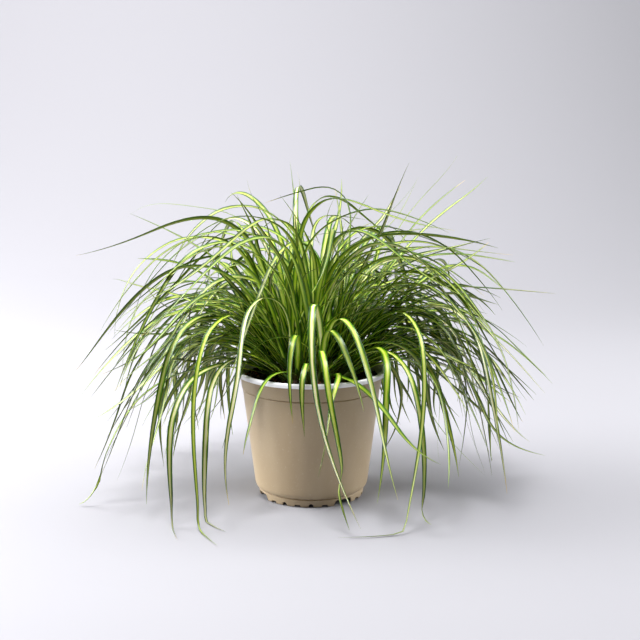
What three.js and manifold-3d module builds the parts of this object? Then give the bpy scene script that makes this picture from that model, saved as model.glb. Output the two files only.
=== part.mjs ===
// A variegated carex sedge growing in a plastic nursery pot.
// Lengths are millimetres and angles degrees. +Z is up, the plant's front is -Y, and the origin is the middle
// of the pot's foot, on the surface that the pot stands on.
import * as THREE from "three";
import { mergeVertices } from "three/addons/utils/BufferGeometryUtils.js";
import { OBB } from "three/addons/math/OBB.js";
import Module from "manifold-3d";

const wasm = await Module();
wasm.setup();

// ---------------------------------------------------------------- driving dimensions

const POT = {
  rimRadius: 65, // outside of the turned-down lip
  height: 110.5,
  lipDrop: 3.6, // how far the lip hangs below the rim's top
  lipWidth: 3.9, // from the mouth to the lip's outside
  wall: 1.1,
  groove: 0.6, // depth, and half the height, of the grooves under the collar and over the foot
  round: 0.45, // of the lip's edges
  grooveHeight: 94.3, // where the collar steps in to the body
  collarRadius: 59.8, // at the groove
  bodyTopRadius: 59.0,
  bodyFootRadius: 48.7,
  bodyFootHeight: 11,
  footRadius: 44.7,
  footHeight: 6.6,
  padRadius: 13.5, // the middle pad that also stands on the surface
  sides: 32,
};

// Notches round the foot as [width, height, how much narrower each end is at its top].
const NOTCH = {
  pitch: 15, // degrees
  flat: [4.6, 1.6, 0.5],
  arched: [4.8, 3.2, 1.5],
  slot: [19, 5, 2],
  slotAngles: [-67.5, 37.5, 172.5], // anticlockwise from the front, seen from above
  depth: 9, // of the block that cuts them
};
const DRAIN_HOLE = { count: 6, radius: 4, ring: 31, sides: 6, depth: 6 };

const SOIL = {
  edgeHeight: 102.5, // of its surface, where it meets the pot
  moundRadius: 52,
  moundRise: 4,
  lumps: 0.9, // height of the unevenness
  surfaceRings: [50, 40, 20], // radii where the surface is cut into facets
  gap: 0.35, // to the pot and to the shoots
};

const SHOOT = {
  count: 48, // of the places for shoots; the crowded ones stay empty
  crownRadius: 36, // of the disc of soil that the shoots stand in
  plugDepth: 8, // how far a shoot goes into the soil
  kneeHeight: 1, // over the soil, where it begins to lean
  girth: 2.4, // radius of the three-sided sheath at the soil
  topGirth: 1.5,
  height: [34, 15], // of the sheath, from the middle shoot to the outermost one
  lean: [2, 52], // away from upright, in the same order
  leanPower: 1.15, // how much of that lean is kept for the outer shoots
};

const BLADE = {
  rootWidth: 0.36, // share of the full width at the sheath
  fullWidthFrom: 0.26, // share of the length where the full width is reached
  taperFrom: 0.45, // and where it begins to narrow to the tip
  taperPower: 0.85,
  keel: [0.75, 0.95], // depth under the midrib, from the narrowest part to the widest
  bendShare: 0.45, // how far the sections crowd where a blade bends, from 0 to 1
  pathSteps: 60,
  gap: 0.3, // kept free all round a blade
  rootZone: 15, // length beside its sheath where a blade may touch the others of its shoot
  potMargin: 1.2, // kept free from the pot and the soil
  floorGap: 0.35, // kept free under a blade that trails on the surface
  tries: 1000, // draws for each blade before its place stays empty
};

// The blades of a shoot stand in three ranks, oldest outermost. The older a blade, the lower on the sheath it
// starts (`from`), the further it leans away from the shoot, the longer it is and the further it falls over.
// Each range is drawn from at random. `stretches` is the number of straight stretches that make its curve.
const AGES = [
  {
    from: 0.35,
    lean: [6, 34],
    length: [150, 300],
    width: [3.6, 6.2],
    fall: [-90, -45],
    bendAt: [0.32, 0.5],
    bendSpan: [0.35, 0.9],
    stretches: 6,
  },
  {
    from: 0.6,
    lean: [6, 24],
    length: [170, 280],
    width: [3.4, 5.8],
    fall: [-85, -35],
    bendAt: [0.4, 0.6],
    bendSpan: [0.4, 0.95],
    stretches: 5,
  },
  {
    from: 0.85,
    lean: [2, 18],
    length: [120, 220],
    width: [2.6, 4.6],
    fall: [-60, 55],
    bendAt: [0.45, 0.7],
    bendSpan: [0.6, 1],
    stretches: 4,
  },
];
const RANKS = 3;
const SWEEP = 85; // most that a drawn blade's heading turns along its length, either way
const TWIST = 60; // most that its face turns
const LIFT = [-10, 38]; // how much its outer half curls back up
const RANK_SPREAD = 28; // how far a blade strays from its rank, round the shoot

// Blades that stand out at the front, each on the shoot nearest to x, y. Azimuth 0 points right, -90 to the front.
const FRONT_COLUMNS = [
  ...["x", "y", "azimuth", "rise", "fall", "bendAt", "bendSpan"],
  ...["length", "width", "sweep", "lift"],
];
const FRONT_BLADES = [
  [7, -24, -128, 84, -79, 0.25, 0.17, 260, 7, 108, 14], // broad, over the middle of the rim
  [6, -24, -96, 50, -88, 0.24, 0.34, 196, 4, 60, 10], // narrower, behind it
  [10, -18, -67, 70, -73, 0.27, 0.42, 226, 6.6, 8, 14], // broad, over the rim to the right
  [6, 6, -140, 94, -68, 0.4, 0.35, 262, 5.4, 8, 0], // high arch to the left front
  [-12, -20, -165, 92, -82, 0.27, 0.36, 256, 5, 95, 10], // pale, curling under at the left
  [-8, -26, -130, 20, -82, 0.36, 0.7, 104, 4.8, -10, 0], // short ones that end over the rim
  [-4, -26, -86, 70, -90, 0.4, 0.42, 128, 3.8, -20, 0],
  [2, -28, -90, 50, -90, 0.36, 0.5, 96, 3.6, -15, 0],
  [8, -24, -78, 76, -66, 0.38, 0.5, 130, 5, 20, 0],
  [12, -28, -62, 26, -80, 0.26, 0.5, 116, 3.6, -125, 0],
  [24, -12, -34, 44, -84, 0.3, 0.5, 188, 5.4, -125, 0], // curling back under at the right
  [20, -24, -60, 8, -46, 0.3, 0.6, 146, 4.6, 18, 36], // low to the right, turning up
  [14, 8, 178, 103, -20, 0.68, 0.26, 212, 5.2, 0, 0], // high crook over the top
  [20, -4, -8, 77, -6, 0.28, 0.2, 226, 6, 0, 0], // straight out to the right
  [24, 2, -12, 64, -82, 0.32, 0.6, 250, 4.4, -10, 0],
  [-24, -8, -160, 34, -86, 0.22, 0.5, 215, 4.6, 115, 14], // curling back under at the left
  [26, -10, -40, 46, -90, 0.28, 0.5, 222, 4.6, -36, 0],
  [-20, -6, -155, 68, -86, 0.24, 0.4, 300, 3, 100, 0], // trailing on the surface at the left
  [26, 2, -20, 62, -86, 0.26, 0.5, 335, 3, -160, 0], // and at the right
];
const FRONT_STRETCHES = 7;
const FRONT_TRIES = 200;
const FRONT_SLACK = 10; // degrees that the last tries may stray from the table

const TUFT = {
  height: 288, // no blade reaches higher
  spread: 205, // or further from the pot's axis
  opening: { halfWidth: 80, depth: 42, height: 205 }, // left free of drawn blades, in front of the pot
};

const SEED = 7;

// ---------------------------------------------------------------- small helpers

const rad = THREE.MathUtils.degToRad;
const deg = THREE.MathUtils.radToDeg;
const clamp = THREE.MathUtils.clamp;
const lerp = THREE.MathUtils.lerp;
const smoothstep = (x) => THREE.MathUtils.smoothstep(x, 0, 1);
const UP = new THREE.Vector3(0, 0, 1);

// Mulberry32: the same draws on every run.
let randomState = SEED;
function random() {
  randomState = (randomState + 0x6d2b79f5) | 0;
  let t = Math.imul(randomState ^ (randomState >>> 15), 1 | randomState);
  t = (t + Math.imul(t ^ (t >>> 7), 61 | t)) ^ t;
  return ((t ^ (t >>> 14)) >>> 0) / 4294967296;
}
const between = (low, high) => low + (high - low) * random();
const either = (most) => between(-most, most);

// A closed three.js geometry as a solid that can be joined and cut.
function solidOf(geometry) {
  const bare = geometry.clone();
  bare.deleteAttribute("normal");
  bare.deleteAttribute("uv");
  const merged = mergeVertices(bare, 1e-4);
  const corners = [];
  for (let i = 0; i < merged.index.count; i += 3) {
    const [a, b, c] = [merged.index.getX(i), merged.index.getX(i + 1), merged.index.getX(i + 2)];
    if (a !== b && b !== c && a !== c) corners.push(a, b, c);
  }
  const made = new wasm.Manifold(
    new wasm.Mesh({
      numProp: 3,
      vertProperties: new Float32Array(merged.attributes.position.array),
      triVerts: new Uint32Array(corners),
    }),
  );
  if (made.volume() < 0) throw new Error("a solid is inside out");
  return made;
}

function geometryOf(solid) {
  const mesh = solid.getMesh();
  const points = new Float32Array(mesh.numVert * 3);
  for (let i = 0; i < mesh.numVert; i++)
    points.set(mesh.vertProperties.subarray(i * mesh.numProp, i * mesh.numProp + 3), i * 3);
  const geometry = new THREE.BufferGeometry();
  geometry.setAttribute("position", new THREE.BufferAttribute(points, 3));
  geometry.setIndex(new THREE.BufferAttribute(new Uint32Array(mesh.triVerts), 1));
  geometry.computeVertexNormals();
  return geometry;
}

// A turned solid from [radius, height] points.
function turned(profile, sides) {
  const points = profile.map(([r, z]) => new THREE.Vector2(r, z));
  const geometry = new THREE.LatheGeometry(points, sides);
  geometry.rotateX(Math.PI / 2);
  return geometry;
}

// A tube through rings of equally many points, closed by its end rings or, at the far end, by a tip.
function loft(rings, tip) {
  const sides = rings[0].length;
  const points = rings.flat();
  const corners = [];
  for (let r = 0; r + 1 < rings.length; r++)
    for (let i = 0; i < sides; i++) {
      const j = (i + 1) % sides;
      const [a, b, c, d] = [r * sides + i, r * sides + j, (r + 1) * sides + i, (r + 1) * sides + j];
      corners.push(a, b, d, a, d, c);
    }
  for (let i = 1; i + 1 < sides; i++) corners.push(0, i + 1, i);
  const last = (rings.length - 1) * sides;
  if (tip) {
    points.push(tip);
    for (let i = 0; i < sides; i++) corners.push(last + i, last + ((i + 1) % sides), points.length - 1);
  } else {
    for (let i = 1; i + 1 < sides; i++) corners.push(last, last + i, last + i + 1);
  }
  const geometry = new THREE.BufferGeometry().setFromPoints(points);
  geometry.setIndex(corners);
  return geometry;
}

// Puts a geometry drawn in the XY plane on a vertical plane that faces outwards at an angle from the front.
function facingOut(geometry, angle, radius) {
  const outwards = new THREE.Vector3(Math.sin(rad(angle)), -Math.cos(rad(angle)), 0);
  const across = new THREE.Vector3().crossVectors(UP, outwards);
  const place = new THREE.Matrix4().makeBasis(across, UP, outwards);
  place.setPosition(outwards.multiplyScalar(radius));
  return geometry.applyMatrix4(place);
}

// ---------------------------------------------------------------- pot

// Outer wall radius of the body at a height, without the lip and the foot.
function bodyRadius(z) {
  const share = (z - POT.bodyFootHeight) / (POT.grooveHeight - POT.bodyFootHeight);
  return lerp(POT.bodyFootRadius, POT.bodyTopRadius, share);
}

// Outline of the pot's wall from the middle of its underside, up its outside, over the lip and down its inside.
function potProfile() {
  const { rimRadius: rim, height, wall, footHeight, footRadius, padRadius } = POT;
  const { bodyFootRadius, bodyFootHeight, bodyTopRadius, collarRadius, grooveHeight, groove, round } = POT;
  const mouth = rim - POT.lipWidth;
  const underLip = height - POT.lipDrop;
  const baseUnderside = footHeight - groove;
  const baseTop = footHeight + wall - groove / 2;
  return [
    [0, 0],
    [padRadius, 0],
    [padRadius + wall, baseUnderside],
    [footRadius - 2 * wall, baseUnderside],
    [footRadius - 1.3 * wall, 0],
    [footRadius, 0],
    [footRadius + wall, footHeight - groove / 2],
    [footRadius + wall - groove, footHeight + groove / 2],
    [footRadius + 2.5 * wall, footHeight + wall],
    [bodyFootRadius, bodyFootHeight],
    [bodyTopRadius, grooveHeight - groove],
    [bodyTopRadius - groove, grooveHeight],
    [collarRadius, grooveHeight + groove],
    [mouth + round, height - wall],
    [rim - wall, height - wall],
    [rim - wall, underLip],
    [rim, underLip],
    [rim, height - round],
    [rim - round, height],
    [mouth + round, height],
    [mouth - 2 * round, height - 3 * round],
    [collarRadius - wall, grooveHeight + groove],
    [bodyTopRadius - wall - groove, grooveHeight - wall],
    [bodyFootRadius - wall, bodyFootHeight + groove],
    [footRadius + wall - groove / 2, baseTop],
    [padRadius, baseTop],
    [padRadius - wall, wall],
    [0, wall],
  ];
}

// The cuts round the foot: wide slots, and between them low flat notches in turn with arched ones.
function notchCuts() {
  const { pitch, flat, arched, slot, slotAngles, depth } = NOTCH;
  const cut = ([width, height, narrowing], angle) => {
    const outline = new THREE.Shape();
    outline.moveTo(-width / 2, -1);
    outline.lineTo(width / 2, -1);
    outline.lineTo(width / 2 - narrowing, height);
    outline.lineTo(-width / 2 + narrowing, height);
    const block = new THREE.ExtrudeGeometry(outline, { depth, bevelEnabled: false });
    return facingOut(block, angle, POT.footRadius - (depth * 2) / 3);
  };
  const cuts = [];
  slotAngles.forEach((from, i) => {
    const to = slotAngles[i + 1] ?? slotAngles[0] + 360;
    cuts.push(cut(slot, from));
    for (let k = 0; from + pitch * (k + 1.5) < to - pitch; k++)
      cuts.push(cut(k % 2 ? arched : flat, from + pitch * (k + 1.5)));
  });
  return cuts;
}

function drainHoles() {
  const { count, radius, ring, sides, depth } = DRAIN_HOLE;
  return Array.from({ length: count }, (_, i) => {
    const angle = (2 * Math.PI * (i + 0.5)) / count;
    const drill = new THREE.CylinderGeometry(radius, radius, depth, sides);
    drill.rotateX(Math.PI / 2);
    return drill.translate(ring * Math.cos(angle), ring * Math.sin(angle), POT.footHeight);
  });
}

function makePot() {
  let pot = solidOf(turned(potProfile(), POT.sides));
  for (const cut of [...notchCuts(), ...drainHoles()]) pot = pot.subtract(solidOf(cut));
  return pot;
}

// ---------------------------------------------------------------- soil

// Height of the soil's surface: a low mound under the crown, with lumps that a sum of waves makes.
function soilHeight(x, y) {
  const share = clamp(Math.hypot(x, y) / SOIL.moundRadius, 0, 1);
  const lumps = Math.sin(x * 0.31 + 1) * Math.cos(y * 0.27) + 0.6 * Math.sin(x * 0.13 - y * 0.37);
  return SOIL.edgeHeight + SOIL.moundRise * (1 - smoothstep(share)) + SOIL.lumps * lumps;
}

function makeSoil(holes) {
  const { gap, edgeHeight } = SOIL;
  const { wall, groove, footRadius, footHeight, padRadius } = POT;
  const bottom = footHeight + wall - groove / 2 + gap;
  const wallRadius = (z) => bodyRadius(z) - wall - groove - gap;
  const profile = [
    [0, wall + gap],
    [padRadius - wall - gap, wall + gap],
    [padRadius - gap, bottom],
    [footRadius, bottom],
    [wallRadius(POT.bodyFootHeight + wall), POT.bodyFootHeight + wall],
    [wallRadius(POT.grooveHeight - 2 * wall), POT.grooveHeight - 2 * wall],
    [POT.collarRadius - wall - gap, edgeHeight],
    ...SOIL.surfaceRings.map((radius) => [radius, edgeHeight]),
    [0, edgeHeight],
  ];
  const geometry = turned(profile, POT.sides);
  const at = geometry.attributes.position;
  for (let i = 0; i < at.count; i++)
    if (Math.abs(at.getZ(i) - edgeHeight) < 1e-6) at.setZ(i, soilHeight(at.getX(i), at.getY(i)));
  let soil = solidOf(geometry);
  for (const hole of holes) soil = soil.subtract(solidOf(hole));
  return soil;
}

// ---------------------------------------------------------------- leafy shoots

// Three corners of a section round a point: the sheaths and the folded bases of a sedge are three-sided.
function triangle(centre, along, girth, turn) {
  const across = new THREE.Vector3(Math.cos(turn), Math.sin(turn), 0);
  across.addScaledVector(along, -across.dot(along)).normalize();
  const other = new THREE.Vector3().crossVectors(along, across);
  return [0, 1, 2].map((i) => {
    const angle = (2 * Math.PI * i) / 3;
    return centre
      .clone()
      .addScaledVector(across, girth * Math.cos(angle))
      .addScaledVector(other, girth * Math.sin(angle));
  });
}

const GOLDEN_ANGLE = Math.PI * (3 - Math.sqrt(5));

// Shoot i of the tuft stands on a sunflower spiral, and leans out the more, the further out it stands.
function makeShoot(i) {
  const share = Math.sqrt((i + 0.5) / SHOOT.count);
  const around = i * GOLDEN_ANGLE + either(0.1);
  const x = SHOOT.crownRadius * share * Math.cos(around);
  const y = SHOOT.crownRadius * share * Math.sin(around);
  const foot = new THREE.Vector3(x, y, soilHeight(x, y));
  const lean = rad(lerp(...SHOOT.lean, share ** SHOOT.leanPower) + either(3));
  const outwards = new THREE.Vector3(Math.cos(around), Math.sin(around), 0);
  const direction = outwards.multiplyScalar(Math.sin(lean)).addScaledVector(UP, Math.cos(lean));
  const height = lerp(...SHOOT.height, share);
  const turn = between(0, 2 * Math.PI);
  const knee = foot.clone().addScaledVector(UP, SHOOT.kneeHeight);
  const top = knee.clone().addScaledVector(direction, height);
  const plug = foot.clone().addScaledVector(UP, -SHOOT.plugDepth);
  const rings = [
    triangle(plug, UP, SHOOT.girth * 0.9, turn),
    triangle(knee, UP, SHOOT.girth, turn),
    triangle(top, direction, SHOOT.topGirth, turn),
  ];
  const holeBottom = plug.clone().addScaledVector(UP, -SOIL.gap);
  const holeTop = knee.clone().addScaledVector(direction, SHOOT.plugDepth);
  const holeGirth = SHOOT.girth + 2 * SOIL.gap;
  const hole = loft([
    triangle(holeBottom, UP, holeGirth, turn),
    triangle(knee, UP, holeGirth, turn),
    triangle(holeTop, direction, holeGirth, turn),
  ]);
  return { knee, direction, height, turn, rings, hole, blades: [] };
}

// ---------------------------------------------------------------- blades

function bladeWidth(t, full) {
  const opening = lerp(BLADE.rootWidth, 1, smoothstep(t / BLADE.fullWidthFrom));
  const taper = Math.min(1, (1 - t) / (1 - BLADE.taperFrom)) ** BLADE.taperPower;
  return full * opening * taper;
}

// The sections of a blade. It leaves its root heading for `azimuth`, `rise` degrees above the horizon, and bends
// over to `fall`, mostly within `bendSpan` of its length round `bendAt`. `sweep` turns its heading and `twist`
// its face on the way, and `lift` curls its outer half up. Where it comes down to the surface it trails along it.
function bladeSections(root, blade) {
  const step = blade.length / BLADE.pathSteps;
  const lowest = BLADE.floorGap + BLADE.keel[1];
  const point = root.clone();
  const path = [];
  for (let k = 0; k <= BLADE.pathSteps; k++) {
    const t = k / BLADE.pathSteps;
    const bend = smoothstep((t - blade.bendAt) / blade.bendSpan + 0.5);
    const lift = blade.lift * smoothstep(2 * t - 1);
    const aimed = rad(lerp(blade.rise, blade.fall, 0.82 * bend + 0.18 * t) + lift);
    const pitch = Math.max(aimed, Math.asin(clamp((lowest - point.z) / step, -1, 0)));
    const heading = rad(blade.azimuth + blade.sweep * t);
    const along = new THREE.Vector3(
      Math.cos(pitch) * Math.cos(heading),
      Math.cos(pitch) * Math.sin(heading),
      Math.sin(pitch),
    );
    const side = new THREE.Vector3(-Math.sin(heading), Math.cos(heading), 0);
    const face = new THREE.Vector3().crossVectors(along, side);
    side.applyAxisAngle(along, rad(blade.twist * t));
    face.applyAxisAngle(along, rad(blade.twist * t));
    path.push({ point: point.clone(), along, side, face, width: bladeWidth(t, blade.width) });
    point.addScaledVector(along, step);
  }
  return cutSections(path, blade.stretches);
}

// Picks the sections that a blade is built from out of its fine path: evenly spaced where it is straight, and
// closer together where it bends.
function cutSections(path, stretches) {
  const turns = path.map((here, k) => (k === 0 ? 0 : here.along.angleTo(path[k - 1].along)));
  const allTurns = turns.reduce((sum, turn) => sum + turn, 0);
  const sections = [path[0]];
  let passed = 0;
  for (let k = 1; k < path.length; k++) {
    passed += (1 - BLADE.bendShare) / (path.length - 1) + (BLADE.bendShare * turns[k]) / allTurns;
    if (passed >= sections.length / stretches - 1e-9) sections.push(path[k]);
  }
  if (sections.length <= stretches) sections.push(path.at(-1));
  return sections;
}

// The three corners of a section, grown by a margin: two edges, and the keel under the midrib. The last section
// is the blade's tip.
function sectionCorners({ point, side, face, width }, grow = 0) {
  if (width === 0) return [point, point, point];
  const depth = lerp(...BLADE.keel, clamp(width / 7, 0, 1));
  const edge = width / 2 + grow * 1.6;
  const middle = point.clone().addScaledVector(face, grow);
  return [
    middle.clone().addScaledVector(side, edge),
    middle.clone().addScaledVector(side, -edge),
    point.clone().addScaledVector(face, -depth - grow),
  ];
}

function bladeGeometry(sections) {
  const rings = sections.slice(0, -1).map((section) => sectionCorners(section));
  return loft(rings, sections.at(-1).point);
}

// A box round some points, turned to lie along them.
function boxRound(points, along, face) {
  const side = new THREE.Vector3().crossVectors(face, along).normalize();
  const normal = new THREE.Vector3().crossVectors(along, side).normalize();
  const axes = [along, side, normal];
  const spans = axes.map((axis) => {
    const reaches = points.map((p) => p.dot(axis));
    return [Math.min(...reaches), Math.max(...reaches)];
  });
  const centre = new THREE.Vector3();
  spans.forEach(([low, high], k) => centre.addScaledVector(axes[k], (low + high) / 2));
  const half = new THREE.Vector3(...spans.map(([low, high]) => (high - low) / 2));
  const turn = new THREE.Matrix3().setFromMatrix4(new THREE.Matrix4().makeBasis(...axes));
  return { turned: new OBB(centre, half, turn), upright: new THREE.Box3().setFromPoints(points) };
}

const meet = (a, b) => a.upright.intersectsBox(b.upright) && a.turned.intersectsOBB(b.turned);

// The boxes that a blade fills, one for each stretch between two sections, grown by a margin.
function bladeBoxes(sections, grow) {
  return sections.slice(1).map((far, i) => {
    const near = sections[i];
    const along = far.point.clone().sub(near.point).normalize();
    const end = { ...far, point: far.point.clone().addScaledVector(along, far.width === 0 ? grow : 0) };
    const corners = [...sectionCorners(near, grow), ...sectionCorners(end, grow)];
    return boxRound(corners, along, near.face.clone().add(far.face));
  });
}

// The part of a blade beyond its root zone.
function beyondRoot(sections) {
  const [near, far] = sections;
  const share = clamp(BLADE.rootZone / near.point.distanceTo(far.point), 0, 0.9);
  const point = near.point.clone().lerp(far.point, share);
  return [{ ...near, point, width: lerp(near.width, far.width, share) }, ...sections.slice(1)];
}

// True if a point keeps out of the pot, the soil and the surface below, and within the tuft's outline.
function isFree({ x, y, z }) {
  const { potMargin, floorGap } = BLADE;
  const reach = Math.hypot(x, y);
  if (z < floorGap - 1e-6 || z > TUFT.height || reach > TUFT.spread) return false;
  if (reach > POT.rimRadius + potMargin) return true;
  const inside = reach < POT.rimRadius - POT.lipWidth - POT.wall - potMargin;
  return z > (inside ? soilHeight(x, y) : POT.height) + potMargin;
}

// Points all along a blade's three edges.
function edgePoints(sections) {
  const rings = sections.map((section) => sectionCorners(section));
  const shares = Array.from({ length: 9 }, (_, k) => k / 8);
  return rings
    .slice(1)
    .flatMap((far, i) => far.flatMap((end, k) => shares.map((share) => rings[i][k].clone().lerp(end, share))));
}

// True if a point is out of the space in front of the pot that drawn blades leave free.
function isPastOpening({ x, y, z }) {
  const { halfWidth, depth, height } = TUFT.opening;
  return Math.abs(x) > halfWidth || y > -depth || z > height;
}

// ---------------------------------------------------------------- the tuft

// Blades and sheaths that stand already, as boxes that another blade mustn't meet.
const placed = [];

// Grows a blade on a shoot if it fits there.
function tryBlade(shoot, blade, isWanted = () => true) {
  const root = shoot.knee.clone().addScaledVector(shoot.direction, shoot.height * blade.from);
  const sections = bladeSections(root, blade);
  const points = edgePoints(sections);
  if (!points.every(isFree) || !points.every(isWanted)) return false;
  const boxes = bladeBoxes(sections, BLADE.gap);
  const freeBoxes = bladeBoxes(beyondRoot(sections), BLADE.gap);
  for (const other of placed) {
    const isSibling = other.shoot === shoot;
    const mine = isSibling ? freeBoxes : boxes;
    const theirs = isSibling ? other.freeBoxes : other.boxes;
    if (mine.some((a) => theirs.some((b) => meet(a, b)))) return false;
  }
  placed.push({ shoot, boxes: bladeBoxes(sections, 0), freeBoxes: bladeBoxes(beyondRoot(sections), 0) });
  shoot.blades.push(sections);
  return true;
}

// One draw of a blade for a rank and an age.
function drawBlade(shoot, rank, kind) {
  const around = shoot.turn + (2 * Math.PI * (rank + 0.5)) / RANKS + rad(either(RANK_SPREAD));
  const away = new THREE.Vector3(Math.cos(around), Math.sin(around), 0);
  away.addScaledVector(shoot.direction, -away.dot(shoot.direction)).normalize();
  const lean = rad(between(...kind.lean));
  const heading = shoot.direction.clone().multiplyScalar(Math.cos(lean)).addScaledVector(away, Math.sin(lean));
  return {
    from: kind.from,
    azimuth: deg(Math.atan2(heading.y, heading.x)),
    rise: deg(Math.asin(heading.z)),
    fall: between(...kind.fall),
    length: between(...kind.length),
    width: between(...kind.width),
    bendAt: between(...kind.bendAt),
    bendSpan: between(...kind.bendSpan),
    sweep: either(SWEEP),
    twist: either(TWIST),
    lift: between(...LIFT),
    stretches: kind.stretches,
  };
}

// Grows a blade of the front table, straying from it a little further with each try that doesn't fit.
function growFrontBlade(shoots, row) {
  const wanted = Object.fromEntries(FRONT_COLUMNS.map((column, k) => [column, row[k]]));
  const away = (shoot) => Math.hypot(shoot.knee.x - wanted.x, shoot.knee.y - wanted.y);
  const shoot = shoots.reduce((best, other) => (away(other) < away(best) ? other : best));
  for (let k = 0; k < FRONT_TRIES; k++) {
    const slack = (FRONT_SLACK * k) / FRONT_TRIES;
    const blade = {
      ...wanted,
      from: clamp(0.5 + either(slack) / 20, 0.25, 0.9),
      azimuth: wanted.azimuth + either(slack),
      rise: wanted.rise + either(slack),
      twist: either(slack) * 3,
      stretches: FRONT_STRETCHES,
    };
    if (tryBlade(shoot, blade)) return;
  }
}

function growDrawnBlade(shoot, rank, kind) {
  for (let k = 0; k < BLADE.tries; k++)
    if (tryBlade(shoot, drawBlade(shoot, rank, kind), isPastOpening)) return;
}

function growTuft() {
  const shoots = Array.from({ length: SHOOT.count }, (_, i) => makeShoot(i));
  const across = new THREE.Vector3(1, 0, 0);
  for (const shoot of shoots) {
    const [low, knee, top] = shoot.rings;
    const plug = boxRound([...low, ...knee], UP, across);
    const stem = boxRound([...knee, ...top], shoot.direction, across);
    placed.push({ shoot, boxes: [plug, stem], freeBoxes: [] });
  }
  for (const row of FRONT_BLADES) growFrontBlade(shoots, row);
  for (const kind of AGES)
    for (const shoot of shoots)
      for (let rank = 0; rank < RANKS; rank++) growDrawnBlade(shoot, rank, kind);
  // A shoot that found no room for a blade didn't come up.
  return shoots.filter((shoot) => shoot.blades.length > 0);
}

// A shoot's sheath and blades joined. Only the outer skin is kept, so a pocket between blades is filled.
function makeLeafyShoot(shoot) {
  const sheath = solidOf(loft(shoot.rings));
  const joined = shoot.blades.reduce((made, sections) => made.add(solidOf(bladeGeometry(sections))), sheath);
  return joined.decompose().find((skin) => skin.volume() > 0);
}

// ---------------------------------------------------------------- assembly

const taupePlastic = new THREE.MeshStandardMaterial({ color: "#ab9a80", roughness: 0.55 });
const darkPeat = new THREE.MeshStandardMaterial({ color: "#2b1f17", roughness: 0.95 });
const sedgeGreen = new THREE.MeshStandardMaterial({ color: "#86a92f", roughness: 0.5 });

const plant = new THREE.Group();
function addMesh(name, solid, material) {
  const mesh = new THREE.Mesh(geometryOf(solid), material);
  mesh.name = name;
  plant.add(mesh);
}

const shoots = growTuft();
addMesh("pot", makePot(), taupePlastic);
addMesh("potting_soil", makeSoil(shoots.map((shoot) => shoot.hole)), darkPeat);
shoots.forEach((shoot, i) => {
  addMesh("leafy_shoot_" + String(i + 1).padStart(2, "0"), makeLeafyShoot(shoot), sedgeGreen);
});

export default plant;
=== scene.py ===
# %% [markdown]
# # A potted carex sedge
#
# This lesson dresses a plain faceted model of a sedge in its nursery pot: a turned plastic pot, the potting
# soil in it, and 46 leafy shoots. The plain model gives every size and place. Here each of its pieces gets a
# finer mesh in the same place, and a material worked out from what the real thing is made of.

import math
import random

import bmesh
import bpy
import numpy as np
from mathutils import Matrix, Vector, noise


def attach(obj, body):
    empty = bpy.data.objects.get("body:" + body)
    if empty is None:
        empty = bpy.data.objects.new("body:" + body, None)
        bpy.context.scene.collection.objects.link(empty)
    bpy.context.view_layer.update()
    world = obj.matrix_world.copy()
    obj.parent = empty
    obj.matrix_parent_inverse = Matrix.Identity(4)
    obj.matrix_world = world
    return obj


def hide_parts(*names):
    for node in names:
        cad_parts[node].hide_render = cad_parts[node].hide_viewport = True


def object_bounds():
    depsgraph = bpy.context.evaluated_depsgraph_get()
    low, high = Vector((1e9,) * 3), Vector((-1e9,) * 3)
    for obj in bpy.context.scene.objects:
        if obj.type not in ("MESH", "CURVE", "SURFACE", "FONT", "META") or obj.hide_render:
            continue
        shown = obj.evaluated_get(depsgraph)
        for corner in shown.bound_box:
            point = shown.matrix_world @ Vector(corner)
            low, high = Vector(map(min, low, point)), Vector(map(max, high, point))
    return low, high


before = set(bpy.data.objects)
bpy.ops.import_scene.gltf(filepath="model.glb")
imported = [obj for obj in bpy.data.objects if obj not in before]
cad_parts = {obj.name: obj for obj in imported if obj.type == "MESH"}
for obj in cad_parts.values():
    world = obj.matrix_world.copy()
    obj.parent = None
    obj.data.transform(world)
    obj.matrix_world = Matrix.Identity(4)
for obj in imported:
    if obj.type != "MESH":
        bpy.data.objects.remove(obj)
plain_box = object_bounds()
MM = 0.001
shoot_names = sorted(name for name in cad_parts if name.startswith("leafy_shoot"))
print("plain pieces:", len(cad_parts), "of them shoots:", len(shoot_names))

# %% [markdown]
# ## Node helpers
#
# Colours are written as sRGB hex values, as a paint program shows them, but Blender's nodes count in linear
# light, so one function turns them. Every node tree is built by one small function too: it makes a node,
# sets its settings, and fills or links its inputs. Short functions after it stand for one kind of node each.

# %% Colour and nodes
def linear(hex_colour):
    """An sRGB hex colour as the linear RGBA that a socket takes."""
    channels = [int(hex_colour[i : i + 2], 16) / 255 for i in (1, 3, 5)]
    return tuple(c / 12.92 if c <= 0.04045 else ((c + 0.055) / 1.055) ** 2.4 for c in channels) + (1.0,)


def fill(tree, node, inputs):
    """Fills inputs by name or number: sockets and nodes (their first output) are linked, values are set."""
    for key, value in inputs.items():
        value = value.outputs[0] if isinstance(value, bpy.types.Node) else value
        if isinstance(value, bpy.types.NodeSocket):
            tree.links.new(value, node.inputs[key])
        else:
            node.inputs[key].default_value = value
    return node


def add(tree, kind, inputs=(), **settings):
    """Adds a node. Its inputs are a list, or a dict by name or number."""
    node = tree.nodes.new(kind)
    node.location = 190 * (len(tree.nodes) % 12), -230 * (len(tree.nodes) // 12)
    for name, value in settings.items():
        setattr(node, name, value)
    return fill(tree, node, inputs if isinstance(inputs, dict) else dict(enumerate(inputs)))


def calc(tree, operation, *values):
    return add(tree, "ShaderNodeMath", values, operation=operation)


def span(tree, value, old=(0.0, 1.0), new=(0.0, 1.0)):
    """Moves a value from its old range to a new one."""
    return add(tree, "ShaderNodeMapRange", [value, *old, *new])


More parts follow.
